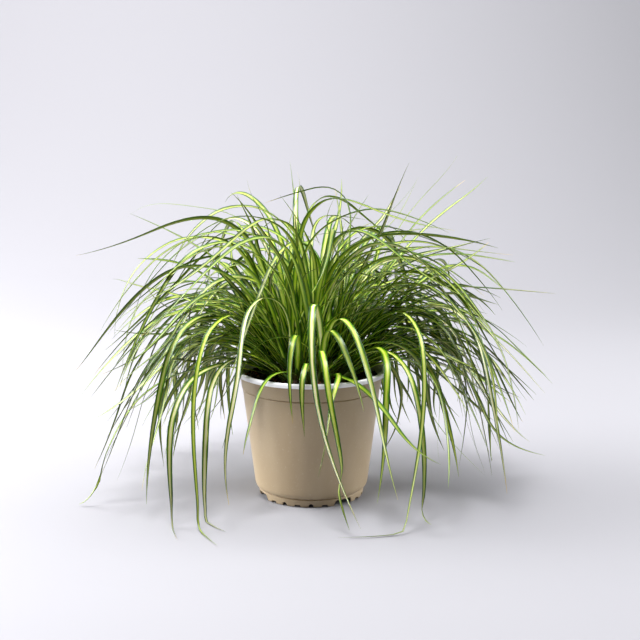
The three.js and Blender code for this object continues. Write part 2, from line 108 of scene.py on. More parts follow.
def ramp(tree, share, stops):
    """A colour ramp with these stops, as (position, hex colour)."""
    node = add(tree, "ShaderNodeValToRGB", [share])
    elements = node.color_ramp.elements
    while len(elements) < len(stops):
        elements.new(0.5)
    for element, (position, colour) in zip(elements, stops):
        element.position = position
        element.color = linear(colour)
    return node


def mix(tree, share, first, second):
    """The first colour at 0, the second at 1."""
    return add(tree, "ShaderNodeMix", {0: share, 6: first, 7: second}, data_type="RGBA").outputs[2]


print("leaf green in linear light:", [round(c, 3) for c in linear("#7fa32b")])

# %% Materials
def new_material(name):
    material = bpy.data.materials.new(name)
    material.use_nodes = True
    return material, material.node_tree, material.node_tree.nodes["Principled BSDF"]


def in_object(tree):
    """The place in object coordinates."""
    return add(tree, "ShaderNodeTexCoord").outputs["Object"]


def clouds(tree, place, scale, detail):
    """Noise, with patches of about one over its scale."""
    return add(tree, "ShaderNodeTexNoise", {"Vector": place, "Scale": scale, "Detail": detail})


def bump(tree, height, depth_mm, strength):
    return add(tree, "ShaderNodeBump", {"Height": height, "Distance": depth_mm * MM, "Strength": strength})


# %% [markdown]
# ## Camera
#
# A product picture of a plant is taken with a longish lens from a little above the rim, so that the pot
# keeps its shape and the soil just shows. Here that is a 74 mm lens, 1.1 m away, tipped down by 11 degrees.

# %% Camera
def placed(name, data):
    """A new object in the scene."""
    thing = bpy.data.objects.new(name, data)
    bpy.context.scene.collection.objects.link(thing)
    return thing


TIPPED_DOWN = 10.65  # degrees
camera = placed("camera", bpy.data.cameras.new("camera"))
camera.data.lens, camera.data.sensor_width = 73.8, 36
camera.location = (0.0075, -1.1, 0.359)
camera.rotation_euler = (math.radians(90 - TIPPED_DOWN), 0, 0)
bpy.context.scene.camera = camera
print("camera at", tuple(round(c, 4) for c in camera.location))

# %% [markdown]
# ## Meshes and objects
#
# Every finished piece is a mesh at the origin, with its place in its vertices, so that a pattern in object
# coordinates stays put. A small function makes such an object and another one dresses it for its plain node.
#
# What repeats is placed with Geometry Nodes. Each group is built once, with named inputs, and run on a piece
# whose named attributes tell it where and how. The result then becomes the piece's own mesh.

# %% Mesh helpers
def new_object(name, vertices, edges=(), faces=()):
    mesh = bpy.data.meshes.new(name)
    mesh.from_pydata([tuple(v) for v in vertices], list(edges), list(faces))
    mesh.update()
    return placed(name, mesh)


def stand_for(piece, node):
    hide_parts(node)
    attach(piece, "root")


def made_plain(piece):
    """Turns what a piece's modifiers make into its own plain mesh."""
    graph = bpy.context.evaluated_depsgraph_get()
    made = piece.evaluated_get(graph)
    mesh = bpy.data.meshes.new_from_object(made, preserve_all_data_layers=True, depsgraph=graph)
    piece.modifiers.clear()
    piece.data = mesh
    mesh.name = piece.name


def smooth_by_angle(piece, degrees):
    """Smooth shading, but with every edge that turns more than this kept crisp."""
    work = bmesh.new()
    work.from_mesh(piece.data)
    for face in work.faces:
        face.smooth = True
    for edge in work.edges:
        edge.smooth = len(edge.link_faces) == 2 and edge.calc_face_angle(math.pi) < math.radians(degrees)
    work.to_mesh(piece.data)
    work.free()


# %% Geometry Nodes helpers
def new_group(name, inputs):
    """A group with these inputs after its geometry, as {name: kind}, and its input node."""
    group = bpy.data.node_groups.new(name, "GeometryNodeTree")
    for socket_name, kind in {"Geometry": "Geometry", **inputs}.items():
        group.interface.new_socket(name=socket_name, in_out="INPUT", socket_type="NodeSocket" + kind)
    group.interface.new_socket(name="Geometry", in_out="OUTPUT", socket_type="NodeSocketGeometry")
    return group, add(group, "NodeGroupInput")


def run_group(piece, group, values):
    """Runs the group on a piece, with these values for its named inputs."""
    modifier = piece.modifiers.new(group.name, "NODES")
    modifier.node_group = group
    for item in group.interface.items_tree:
        if item.name in values:
            modifier[item.identifier] = values[item.name]
    made_plain(piece)


def stand(tree, shape, points, join, **how):
    """Stands instances of an object on points, and joins them to the rest."""
    info = add(tree, "GeometryNodeObjectInfo", {"Object": shape})
    where = {"Points": points, "Instance": info.outputs["Geometry"], **how}
    fill(tree, join, {0: add(tree, "GeometryNodeInstanceOnPoints", where)})


def dress(tree, geometry, material, **where):
    return add(tree, "GeometryNodeSetMaterial", {0: geometry, "Material": material, **where})


def stored(tree, name, kind="FLOAT"):
    """Reads a named attribute."""
    return add(tree, "GeometryNodeInputNamedAttribute", {"Name": name}, data_type=kind).outputs[0]


def noted(tree, geometry, name, value, kind="FLOAT"):
    """Writes a named attribute."""
    written = {0: geometry, "Name": name, "Value": value}
    return add(tree, "GeometryNodeStoreNamedAttribute", written, data_type=kind)


def store(mesh, name, values, kind="FLOAT", domain="POINT"):
    """Writes a named attribute straight into a mesh."""
    field = "vector" if kind == "FLOAT_VECTOR" else "value"
    mesh.attributes.new(name, kind, domain).data.foreach_set(field, values)


# %% [markdown]
# ## The pot's materials
#
# A nursery pot is thermoformed polypropylene, about a millimetre thick. The tool's finely blasted wall gives
# it a satin skin: a soft, broad highlight, and a grain that only shows close up. This one is made of two
# layers, taupe outside and white inside, and the white shows again where the lip is rolled over.
# Polypropylene has an IOR of 1.49, and a satin skin a roughness near 0.42. The real grain is about 0.1 mm,
# too fine for the picture, so it is drawn at 0.4 mm.

# %% Polypropylene
def polypropylene(name, colour, cloud_colour, roughness):
    material, tree, shader = new_material(name)
    place = in_object(tree)
    # Cloudy pigment, in patches of about 25 mm, stretched up the wall as the melt flowed.
    flow = add(tree, "ShaderNodeMapping", {"Vector": place, "Scale": (1.0, 1.0, 0.35)})
    pigment = ramp(tree, clouds(tree, flow, 1 / (25 * MM), 3.0), [(0.3, cloud_colour), (0.7, colour)])
    grain = clouds(tree, place, 1 / (0.4 * MM), 2.0)
    dust = span(tree, clouds(tree, place, 1 / (1.6 * MM), 4.0), (0.62, 0.8), (0.0, 0.25))
    look = {
        "Base Color": mix(tree, dust, pigment, linear("#d8cfbf")),
        "Roughness": span(tree, grain, new=(roughness - 0.05, roughness + 0.06)),
        "Normal": bump(tree, grain, 0.02, 0.5),
        "IOR": 1.49,
    }
    fill(tree, shader, look)
    return material


taupe_plastic = polypropylene("satin_taupe_polypropylene", "#ad9a7d", "#a49072", 0.42)
white_plastic = polypropylene("white_polypropylene", "#efeef2", "#e6e5ea", 0.38)
print("pot materials:", taupe_plastic.name, white_plastic.name)

# %% [markdown]
# ## The pot's wall
#
# The pot is a body of revolution, so its whole wall is one outline turned about the upright axis: up the
# outside, over the lip and down the inside. A moulded pot has no sharp corners, so each corner of the
# outline is rounded by its own radius first. Turning the outline in mesh code keeps each band's material in
# hand.

# %% Outline of the wall
# Radius, height, rounding, and the material of the band that follows: 0 taupe outside, 1 white inside.
POT_OUTLINE = [
    (0.0, 0.0, 0.0, 0),
    (13.5, 0.0, 0.4, 0),
    (14.6, 6.0, 0.6, 0),
    (42.5, 6.0, 0.5, 0),
    (43.3, 0.0, 0.3, 0),
    (44.7, 0.0, 0.4, 0),
    (45.75, 6.1, 0.3, 0),
    (44.7, 6.75, 0.2, 0),
    (45.9, 7.3, 0.35, 0),
    (47.5, 8.2, 1.0, 0),
    (48.7, 11.0, 2.2, 0),
    (59.0, 93.7, 0.4, 0),
    (58.1, 94.3, 0.2, 0),
    (59.75, 95.0, 0.3, 0),
    (60.9, 106.0, 0.6, 0),
    (61.3, 109.1, 0.3, 0),
    (63.9, 109.1, 0.3, 1),
    (63.9, 106.9, 0.2, 1),
    (65.0, 106.9, 0.35, 1),
    (65.0, 110.5, 0.9, 1),
    (61.2, 110.5, 0.8, 1),
    (60.1, 108.4, 0.8, 1),
    (58.7, 96.6, 0.6, 1),
    (57.5, 93.8, 0.6, 1),
    (47.6, 11.6, 2.0, 1),
    (45.2, 7.4, 0.6, 1),
    (13.5, 7.4, 0.8, 1),
    (12.4, 1.1, 0.6, 1),
    (0.0, 1.1, 0.0, 1),
]


def rounded(outline, steps=4):
    """The outline with each corner cut back to a small arc, as (radius, height, band)."""
    points = []
    for i, (r, z, rounding, band) in enumerate(outline):
        if rounding == 0 or i in (0, len(outline) - 1):
            points.append((r, z, band))
            continue
        here = Vector((r, z))
        before, after = Vector(outline[i - 1][:2]) - here, Vector(outline[i + 1][:2]) - here
        cut = min(rounding, before.length * 0.45, after.length * 0.45)
        start, end = here + before.normalized() * cut, here + after.normalized() * cut
        for k in range(steps + 1):
            t = k / steps
            point = (1 - t) ** 2 * start + 2 * t * (1 - t) * here + t**2 * end
            points.append((point.x, point.y, band if k >= steps / 2 else outline[i - 1][3]))
    return points


wall_outline = rounded(POT_OUTLINE)
print("points in the outline of the wall:", len(wall_outline))

# %% Turn the wall
POT_SIDES = 180


def ring_of(radius, z, sides):
    """Points of a level circle, from its radius and height in mm."""
    angles = [2 * math.pi * k / sides for k in range(sides)]
    return [(radius * MM * math.cos(a), radius * MM * math.sin(a), z * MM) for a in angles]


def turned(name, outline, sides):
    """A closed body of revolution, whose outline starts and ends on the axis."""
    vertices, faces, bands, rings = [], [], [], []
    for r, z, _ in outline:
        rings.append(len(vertices))
        vertices += ring_of(r, z, sides) if r else [(0, 0, z * MM)]
    for i, (a, b) in enumerate(zip(rings, rings[1:])):
        for k in range(sides):
            m = (k + 1) % sides
            if outline[i][0] == 0:
                faces.append((a, b + m, b + k))
            elif outline[i + 1][0] == 0:
                faces.append((a + k, a + m, b))
            else:
                faces.append((a + k, a + m, b + m, b + k))
            bands.append(outline[i][2])
    piece = new_object(name, vertices, faces=faces)
    piece.data.polygons.foreach_set("material_index", bands)
    return piece


pot = turned("nursery_pot", wall_outline, POT_SIDES)
for plastic in (taupe_plastic, white_plastic):
    pot.data.materials.append(plastic)
print("pot faces before its notches:", len(pot.data.polygons))

# %% [markdown]
# ## Notches and drain holes
#
# The foot of such a pot is notched all round, so that water can run out and air get in: wide slots at three
# places, and between them low flat notches in turn with arched ones. Six round holes go through the base.
# Each cutter is drawn once, and instances of it stand on points that carry the kind and the turn. A Boolean
# then takes them all out of the wall at once.

# %% Places of the cutters
NOTCH_PITCH = 15  # degrees
SLOT_ANGLES = [-67.5, 37.5, 172.5]  # from the front, anticlockwise seen from above
FOOT_RADIUS = 44.7 * MM
HOLE_COUNT, HOLE_RING, HOLE_RADIUS = 6, 31 * MM, 4  # the last in mm, as the outlines below
SLOT, FLAT, ARCHED, HOLE = range(4)
cutter_places = []  # (angle from the front in degrees, distance from the axis, kind)
for i, start in enumerate(SLOT_ANGLES):
    end = SLOT_ANGLES[i + 1] if i < 2 else SLOT_ANGLES[0] + 360
    cutter_places.append((start, FOOT_RADIUS, SLOT))
    k = 0
    while start + NOTCH_PITCH * (k + 1.5) < end - NOTCH_PITCH:
        cutter_places.append((start + NOTCH_PITCH * (k + 1.5), FOOT_RADIUS, ARCHED if k % 2 else FLAT))
        k += 1
for i in range(HOLE_COUNT):
    cutter_places.append((360 / HOLE_COUNT * i + 120, HOLE_RING, HOLE))
print("notches, slots and holes:", len(cutter_places))

# %% Shapes of the cutters
def upright_block(name, outline, depth):
    """A block with this outline (x, z in mm), running along Y."""
    n = len(outline)
    vertices = [(x * MM, y * MM, z * MM) for y in (-depth / 2, depth / 2) for x, z in outline]
    faces = [tuple(range(n)), tuple(range(2 * n - 1, n - 1, -1))]
    faces += [(k, k + n, (k + 1) % n + n, (k + 1) % n) for k in range(n)]
    return new_object(name, vertices, faces=faces)


def arch(half_width, height, foot=-1.0, steps=12):
    turn = [math.pi * k / steps for k in range(steps + 1)]
    top = [(half_width * math.cos(a), height * max(math.sin(a), 0) ** 0.8) for a in turn]
    return [(-half_width, foot), (half_width, foot)] + [(x, z + 0.01) for x, z in top]


def mirrored(right_half):
    """An outline from its right half, listed upwards."""
    left_half = [(-x, z) for x, z in reversed(right_half)]
    return [left_half[-1], *right_half, *left_half[:-1]]


BLOCK_DEPTH, BASE_MIDDLE = 9, 6.6 * MM
round_turns = np.linspace(0, 2 * math.pi, 25)[:-1]
cutter_outlines = {
    "cutter_slot": mirrored([(9.5, -1), (9.2, 1.5), (8.3, 3.6), (7.2, 4.8)]),
    "cutter_flat": mirrored([(2.8, -1), (2.7, 1.0), (2.2, 1.9)]),
    "cutter_arch": arch(2.3, 3.1),
    "cutter_hole": [(HOLE_RADIUS * math.cos(a), HOLE_RADIUS * math.sin(a)) for a in round_turns],
}
cutters = [upright_block(name, outline, BLOCK_DEPTH) for name, outline in cutter_outlines.items()]
lying = Matrix.Rotation(math.pi / 2, 4, "X")
cutters[HOLE].data.transform(Matrix.Translation((0, 0, BASE_MIDDLE)) @ lying)
print("cutters:", [c.name for c in cutters])

# %% Place the cutters with Geometry Nodes
CUTTER_INPUTS = ("Slot", "Flat notch", "Arched notch", "Drain hole")
tree, entry = new_group("cutters_round_the_foot", dict.fromkeys(CUTTER_INPUTS, "Object"))
turn, kind = stored(tree, "turn"), stored(tree, "kind", "INT")
spin = add(tree, "ShaderNodeCombineXYZ", {"Z": turn})
spots = entry.outputs["Geometry"]
joined = add(tree, "GeometryNodeJoinGeometry")
for k, name in enumerate(CUTTER_INPUTS):
    chosen = add(tree, "FunctionNodeCompare", {2: kind, 3: k}, data_type="INT", operation="EQUAL")
    stand(tree, entry.outputs[name], spots, joined, Selection=chosen, Rotation=spin)
realized = add(tree, "GeometryNodeRealizeInstances", [joined])
add(tree, "NodeGroupOutput", [dress(tree, realized, taupe_plastic)])

turns = [math.radians(angle) for angle, _, _ in cutter_places]
spots = [(r * math.sin(a), -r * math.cos(a), 0) for a, (_, r, _) in zip(turns, cutter_places)]
cutter_ring = new_object("cutter_ring", spots)
store(cutter_ring.data, "turn", turns)
store(cutter_ring.data, "kind", [kind_of for _, _, kind_of in cutter_places], "INT")
run_group(cutter_ring, tree, dict(zip(CUTTER_INPUTS, cutters)))
print("cutter faces:", len(cutter_ring.data.polygons))

# %% Cut the wall
cut = pot.modifiers.new("notches", "BOOLEAN")
cut.object = cutter_ring
cut.solver = "EXACT"
cut.operation = "DIFFERENCE"
made_plain(pot)
for helper in cutters + [cutter_ring]:
    bpy.data.objects.remove(helper)
smooth_by_angle(pot, 35)
stand_for(pot, "pot")
print("pot faces:", len(pot.data.polygons), "materials:", [m.name for m in pot.data.materials])

# %% [markdown]
# ## Potting soil
#
# Potting soil is milled peat: nearly black, crumbly and matt, with reddish bark chips and pale root fibres
# in it. A moist crumb scatters almost all light that isn't soaked up, so its roughness is close to 1. The
# body is one closed lump with a gently mounded, bumpy top. What lies loose on it follows a rule, so it is
# scattered with Geometry Nodes from fixed seeds.

# %% Peat material
def peat(name, dark, light, grain_mm):
    material, tree, shader = new_material(name)
    place = in_object(tree)
    crumbs = clouds(tree, place, 1 / (grain_mm * MM), 5.0)
    patches = clouds(tree, place, 1 / (9 * MM), 2.0)
    both = calc(tree, "MULTIPLY_ADD", crumbs, patches, patches)
    look = {
        "Base Color": ramp(tree, both, [(0.6, dark), (0.95, light)]),
        "Roughness": span(tree, patches, new=(0.8, 1.0)),
        "Normal": bump(tree, crumbs, 0.4, 0.8),
        "IOR": 1.4,
    }
    fill(tree, shader, look)
    return material


peat_material = peat("milled_peat", "#17100b", "#3a281c", 1.2)
chip_material = peat("bark_chips", "#542818", "#985436", 0.8)
fibre_material = peat("root_fibres", "#5d4530", "#9c7f5b", 0.8)
print("soil materials:", peat_material.name, chip_material.name, fibre_material.name)

# %% Body of the soil
def smoothstep(x):
    x = min(max(x, 0.0), 1.0)
    return x * x * (3 - 2 * x)


SOIL_EDGE, MOUND_RADIUS, MOUND_RISE, LUMPS = 102.5, 52.0, 4.0, 0.9
SOIL_SIDES, SOIL_RINGS, SOIL_TOP_RADIUS = 120, 44, 58.7


def soil_height(x, y):
    """Height of the soil's surface in mm: a low mound with lumps."""
    lumps = math.sin(x * 0.31 + 1) * math.cos(y * 0.27) + 0.6 * math.sin(x * 0.13 - y * 0.37)
    return SOIL_EDGE + MOUND_RISE * (1 - smoothstep(math.hypot(x, y) / MOUND_RADIUS)) + LUMPS * lumps


def crumbly_height(x, y):
    fine = noise.fractal(Vector((x, y, 4.0)) * 0.22, 0.9, 2.1, 4)
    return soil_height(x, y) + 0.8 * fine


# Radius and height down the side and under the pot's raised base.
SOIL_SIDE = [(56.8, 92.0), (47.1, 12.2), (44.8, 7.8), (13.0, 7.8), (11.8, 1.5)]
vertices, faces = [(0, 0, crumbly_height(0, 0) * MM)], []
for j in range(1, SOIL_RINGS + 1):
    for k in range(SOIL_SIDES):
        r, a = SOIL_TOP_RADIUS * j / SOIL_RINGS, 2 * math.pi * k / SOIL_SIDES
        x, y = r * math.cos(a), r * math.sin(a)
        vertices.append((x * MM, y * MM, crumbly_height(x, y) * MM))
for r, z in SOIL_SIDE:
    vertices += ring_of(r, z, SOIL_SIDES)
vertices.append((0, 0, SOIL_SIDE[-1][1] * MM))
last = len(vertices) - 1
ring_count = SOIL_RINGS + len(SOIL_SIDE)
for k in range(SOIL_SIDES):
    m = (k + 1) % SOIL_SIDES
    faces.append((0, 1 + k, 1 + m))
    for j in range(ring_count - 1):
        a, b = 1 + j * SOIL_SIDES, 1 + (j + 1) * SOIL_SIDES
        faces.append((a + k, b + k, b + m, a + m))
    a = 1 + (ring_count - 1) * SOIL_SIDES
    faces.append((a + k, last, a + m))
soil = new_object("potting_soil_crumbs", vertices, faces=faces)
on_top = [float(p.normal.z > 0.5 and p.center.z > 90 * MM) for p in soil.data.polygons]
store(soil.data, "top", on_top, domain="FACE")
soil.data.materials.append(peat_material)
print("soil faces:", len(soil.data.polygons))

# %% Shapes of what lies loose on the soil
def crumb(name, seed, stretch, material):
    """A lumpy ball of 20 faces for a peat crumb, or 80 for a flat chip."""
    work = bmesh.new()
    bmesh.ops.create_icosphere(work, subdivisions=1 if stretch[2] > 0.5 else 2, radius=1.0)
    for vertex in work.verts:
        vertex.co *= 1 + 0.35 * noise.noise(vertex.co * 1.3 + Vector((seed, 0, 0)))
        vertex.co = Vector(c * s for c, s in zip(vertex.co, stretch))
    piece = placed(name, bpy.data.meshes.new(name))
    work.to_mesh(piece.data)
    work.free()
    piece.data.materials.append(material)
    return piece


def fibre(name, seed):
    """A thin curved root, three-sided, of 20 faces."""
    rng = random.Random(seed)
    steps, side, bend = 6, 3, rng.uniform(0.5, 1.6)
    vertices, faces = [], []
    for j in range(steps + 1):
        t = j / steps - 0.5
        centre = Vector((t * 2, bend * (0.25 - t * t), 0.12 * math.sin(6 * t + seed)))
        for k in range(side):
            a = 2 * math.pi * k / side
            vertices.append(centre + Vector((0, 0.035 * math.cos(a), 0.035 * math.sin(a))))
    for j in range(steps):
        for k in range(side):
            a, b = j * side, (j + 1) * side
            faces.append((a + k, a + (k + 1) % side, b + (k + 1) % side, b + k))
    faces += [(2, 1, 0), tuple(steps * side + k for k in range(3))]
    piece = new_object(name, vertices, faces=faces)
    piece.data.materials.append(fibre_material)
    return piece


loose_shapes = [
    crumb("crumb_a", 1, (1.0, 0.8, 0.7), peat_material),
    crumb("crumb_b", 2, (0.8, 1.0, 0.6), peat_material),
    crumb("chip", 3, (1.5, 0.8, 0.28), chip_material),
    fibre("fibre", 4),
]
print("loose shapes:", {s.name: len(s.data.polygons) for s in loose_shapes})

# %% Scatter them with Geometry Nodes
shape_names = [shape.name for shape in loose_shapes]
scatter_inputs = {**dict.fromkeys(shape_names, "Object"), "Soil material": "Material"}
tree, entry = new_group("scatter_on_soil", scatter_inputs)
# For each shape: how many per square metre, the least and the largest size in mm, and how far it tumbles.
FULL_TURN, NEARLY_FLAT = 6.2832, 0.5
SCATTER = [
    (110000, 0.45, 1.1, FULL_TURN),
    (70000, 0.5, 1.5, FULL_TURN),
    (20000, 0.8, 2.0, NEARLY_FLAT),
    (11000, 1.6, 4.5, NEARLY_FLAT),
]
bare = entry.outputs["Geometry"]
on_top = stored(tree, "top")
everything = add(tree, "GeometryNodeJoinGeometry")
fill(tree, everything, {0: dress(tree, bare, entry.outputs["Soil material"])})
for k, (name, (per_area, least, most, tumble)) in enumerate(zip(shape_names, SCATTER)):
    where = {"Mesh": bare, "Selection": on_top, "Density": float(per_area), "Seed": 11 + k}
    spots = add(tree, "GeometryNodeDistributePointsOnFaces", where)
    size = add(tree, "FunctionNodeRandomValue", {2: least * MM, 3: most * MM, "Seed": 21 + k})
    limits = {0: (-tumble, -tumble, 0.0), 1: (tumble, tumble, FULL_TURN), "Seed": 31 + k}
    turn = add(tree, "FunctionNodeRandomValue", limits, data_type="FLOAT_VECTOR")
    stand(tree, entry.outputs[name], spots, everything, Rotation=turn, Scale=size.outputs[1])
realized = add(tree, "GeometryNodeRealizeInstances", [everything])
add(tree, "NodeGroupOutput", [realized])

run_group(soil, tree, {**dict(zip(shape_names, loose_shapes)), "Soil material": peat_material})
for shape in loose_shapes:
    bpy.data.objects.remove(shape)
stand_for(soil, "potting_soil")
print("soil faces with what lies on it:", len(soil.data.polygons), [m.name for m in soil.data.materials])

# %% [markdown]
# ## Where the leaves run
#
# Each plain shoot is a three-sided sheath with three-sided blades joined to it, and every blade is a run of
# triangular sections that ends in one tip. So the line of each leaf can be read off the plain mesh: start at
# a tip, step from ring to ring down to the sheath, and note for each ring its middle, the way it runs, the
# way its face looks and how wide it is. Nothing is traced by hand, and every fine leaf stays where its plain
# one is.

# %% Read the plain shoots
def is_ring(ring, near):
    return len(ring) == 3 and all(a in near[b] for a in ring for b in ring if a is not b)


def section_of(ring, towards):
    """Middle, direction, face, half width and keel depth of a triangular section."""
    corners = [v.co.copy() for v in ring]
    sides = [(corners[i] - corners[j]).length for i, j in ((1, 2), (0, 2), (0, 1))]
    keel = corners.pop(sides.index(max(sides)))
    middle = (corners[0] + corners[1]) / 2
    along = (corners[0] - keel).cross(corners[1] - keel).normalized()
    if along.dot(towards - middle) < 0:
        along = -along
    face, half = middle - keel, max(sides) / 2
    return {"at": middle, "along": along, "face": face.normalized(), "half": half, "keel": face.length}


def middle_of(corners):
    return sum((v.co for v in corners), Vector()) / len(corners)


def read_shoot(name):
    """The foot, the knee and the blades of a plain shoot, each blade from its sheath to its tip."""
    work = bmesh.new()
    work.from_mesh(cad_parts[name].data)
    bmesh.ops.remove_doubles(work, verts=work.verts, dist=2e-6)
    near = {v: {e.other_vert(v) for e in v.link_edges} for v in work.verts}
    # The foot stands in the soil, so it is the lowest section over 90 mm and within 50 mm of the axis.
    low = sorted(work.verts, key=lambda v: (v.co.xy.length > 50 * MM or v.co.z < 90 * MM, v.co.z))[:3]
    knee = set().union(*(near[v] for v in low)) - set(low)
    blades = []
    for tip in work.verts:
        ring, before, towards, run = near[tip], {tip}, tip.co, []
        if len(ring) != 3:
            continue
        while is_ring(ring, near):
            run.append(section_of(ring, towards))
            towards = run[-1]["at"]
            ring, before = set().union(*(near[v] for v in ring)) - ring - before, ring
        if len(run) >= 2:
            blades.append({"exit": middle_of(ring), "run": run[::-1], "tip": tip.co.copy()})
    shoot = {"name": name, "foot": middle_of(low), "knee": middle_of(knee), "blades": blades}
    work.free()
    return shoot


shoots = [read_shoot(name) for name in shoot_names]
blade_counts = [len(shoot["blades"]) for shoot in shoots]
print("blades read:", sum(blade_counts), "most on a shoot:", max(blade_counts))

# %% [markdown]
# ## The sheaths' directions
#
# The leaves of a sedge stand in three ranks on a short stem, wrapped in each other's sheaths. The sheath
# leans out from the middle of the tuft, the more, the further out it stands. Its direction is taken from the
# points where its own blades leave it.

# %% Direction of each sheath
for shoot in shoots:
    reach = [blade["exit"] - shoot["knee"] for blade in shoot["blades"]]
    shoot["along"] = sum((r.normalized() * r.length for r in reach), Vector()).normalized()
    shoot["height"] = max(r.length for r in reach) + 1 * MM
print("sheath heights in mm:", [round(s["height"] * 1000) for s in shoots[:8]])

# %% [markdown]
# ## A smooth line for each leaf
#
# A plain blade has four to seven straight stretches. A living leaf bends evenly, so between two sections its
# line is a cubic that leaves and arrives the way the sections face. No two leaves lie alike, so each also
# wanders a little to the side and turns its face on the way, by random numbers from one fixed seed. At its
# root a sedge leaf is folded shut, further out it is a shallow channel, and its tip closes again.
#
# The width follows the plain blade's, with two corrections. A plain blade is drawn in where it joins its
# sheath, so a living leaf gets more width near its root, and a little more towards its tip. And the broadest
# plain blades are stout so that they can be printed, so their leaves come out slimmer.

# %% Lines of the broad leaves
FLOOR_GAP = 1.2 * MM  # least height of a leaf's middle line over the surface it trails on
OVER_RIM, ROUND_RIM, WITHIN_RIM = 113 * MM, 67.5 * MM, 55 * MM  # a height and two distances clear of the rim
TURN = 6.28  # about one turn, in radians


def square_to(vector, axis):
    return (vector - axis * vector.dot(axis)).normalized()


def hermite(p0, m0, p1, m1, t):
    a, b = 2 * t**3 - 3 * t**2 + 1, t**3 - 2 * t**2 + t
    return a * p0 + b * m0 + (1 - a) * p1 + (t**3 - t**2) * m1


ROOT_DEPTH = 10 * MM  # how far a leaf's root lies inside its sheath
ROOT_WIDTH, EXIT_WIDTH = 0.3, 0.42  # as shares of the width of the blade's first section


def leaf_sections(shoot, blade):
    """The blade's sections with its root, inside the sheath, and its tip added."""
    first, final = blade["run"][0], blade["run"][-1]
    up_sheath = (blade["exit"] - shoot["knee"]).dot(shoot["along"])
    inside = shoot["knee"] + shoot["along"] * max(up_sheath - ROOT_DEPTH, 1 * MM)
    chord = (first["at"] - blade["exit"]).normalized()
    leaving = (2 * chord - first["along"] + 0.6 * shoot["along"]).normalized()
    to_tip = (blade["tip"] - final["at"]).normalized()
    ending = (2 * to_tip - final["along"]).normalized()
    narrow, narrower = EXIT_WIDTH * first["half"], ROOT_WIDTH * first["half"]
    root = {**first, "at": inside, "along": shoot["along"], "half": narrower, "keel": 0.6 * MM}
    leave = {**first, "at": blade["exit"], "along": leaving, "half": narrow, "keel": 0.9 * MM}
    tip = {**final, "at": blade["tip"], "along": ending, "half": 0.0, "keel": 0.0}
    return [root, leave, *blade["run"], tip]


def leaf_line(sections, rng, step=7 * MM, wander=4.5 * MM, roll=30):
    """Points along a leaf as (place, face, half width, fold depth)."""
    line = []
    for here, there in zip(sections, sections[1:]):
        chord = (there["at"] - here["at"]).length
        pieces = max(2, math.ceil(chord / step))
        for k in range(pieces):
            t = k / pieces
            at = hermite(here["at"], here["along"] * chord, there["at"], there["along"] * chord, t)
            along = here["along"].lerp(there["along"], t).normalized()
            face = square_to(here["face"].lerp(there["face"], t), along)
            narrowing = (1 - t) ** 0.9 if there["half"] == 0 else 1 - t
            half = there["half"] + (here["half"] - there["half"]) * narrowing
            keel = here["keel"] + (there["keel"] - here["keel"]) * t
            line.append([at, face, half, keel, along])
    final = sections[-1]
    line.append([final["at"], square_to(final["face"], final["along"]), 0.06 * MM, 0.0, final["along"]])
    waves, shift = rng.uniform(0.7, 1.7), rng.uniform(0, TURN)
    turns, start = rng.uniform(0.5, 1.3), rng.uniform(0, TURN)
    size, twist = rng.uniform(0.3, 1.0) * wander, math.radians(rng.uniform(0.2, 1.0) * roll)
    # A blade of less than 3.2 mm gives a leaf 1.15 times as wide, one of more than 7.2 mm only 0.72 times.
    broadest = max(point[2] for point in line)
    fuller = 1.15 - 0.43 * smoothstep((broadest - 1.6 * MM) / (2.0 * MM))
    for k, point in enumerate(line):
        share = k / (len(line) - 1)
        at, face, half, keel, along = point
        swing = math.sin(TURN * waves * share + shift)
        aside = at + along.cross(face) * size * swing * smoothstep(share * 1.4 - 0.1)
        if aside.z > OVER_RIM or aside.xy.length > ROUND_RIM:
            point[0] = aside
        point[0].z = max(point[0].z, FLOOR_GAP)
        point[1] = Matrix.Rotation(twist * math.sin(TURN * turns * share + start) * share, 3, along) @ face
        # Times 2.2 at the root, 1.2 in the middle and 1.55 towards the tip.
        point[2] = half * fuller * (2.2 - smoothstep(share / 0.36) + 0.35 * smoothstep((share - 0.4) / 0.4))
        # Folded nearly shut at the root, a third of that soon after, and closing again towards the tip.
        closed = 0.95 - 0.62 * smoothstep(share / 0.22) + 0.25 * smoothstep((share - 0.75) / 0.25)
        point[3] = min(closed * point[2], max(keel, 0.2 * MM))
    return line


rng = random.Random(404)
for shoot in shoots:
    shoot["lines"] = [leaf_line(leaf_sections(shoot, blade), rng) for blade in shoot["blades"]]
    shoot["broad"] = len(shoot["lines"])
print("points along the leaves:", sum(len(line) for shoot in shoots for line in shoot["lines"]))

# %% [markdown]
# ## Slender leaves between the broad ones
#
# A tuft also holds young leaves, half to nine tenths as wide as the grown ones, and a few as fine as hair.
# Each is made from a grown leaf of the same shoot: turned about the shoot's knee, tipped by up to 18
# degrees, shortened, narrowed and bent to a wave of its own. One that would run through the pot or the soil,
# leave the tuft's box or hang over the open front of the pot is dropped, and another is tried.

# %% Lines of the slender leaves
low_box, high_box = plain_box
FRONT_OPENING = {"half_width": 78 * MM, "from": -42 * MM, "height": 200 * MM}
MARGIN, SHEATHED_POINTS = 2 * MM, 4  # the first points of a line lie in the sheath, and may pass the soil
MOST_TRIES, MOST_TIPPED = 60, 18  # the second in degrees
PARENT_HEIGHT = 12 * MM  # a leaf that hangs lower than this gives no slender ones


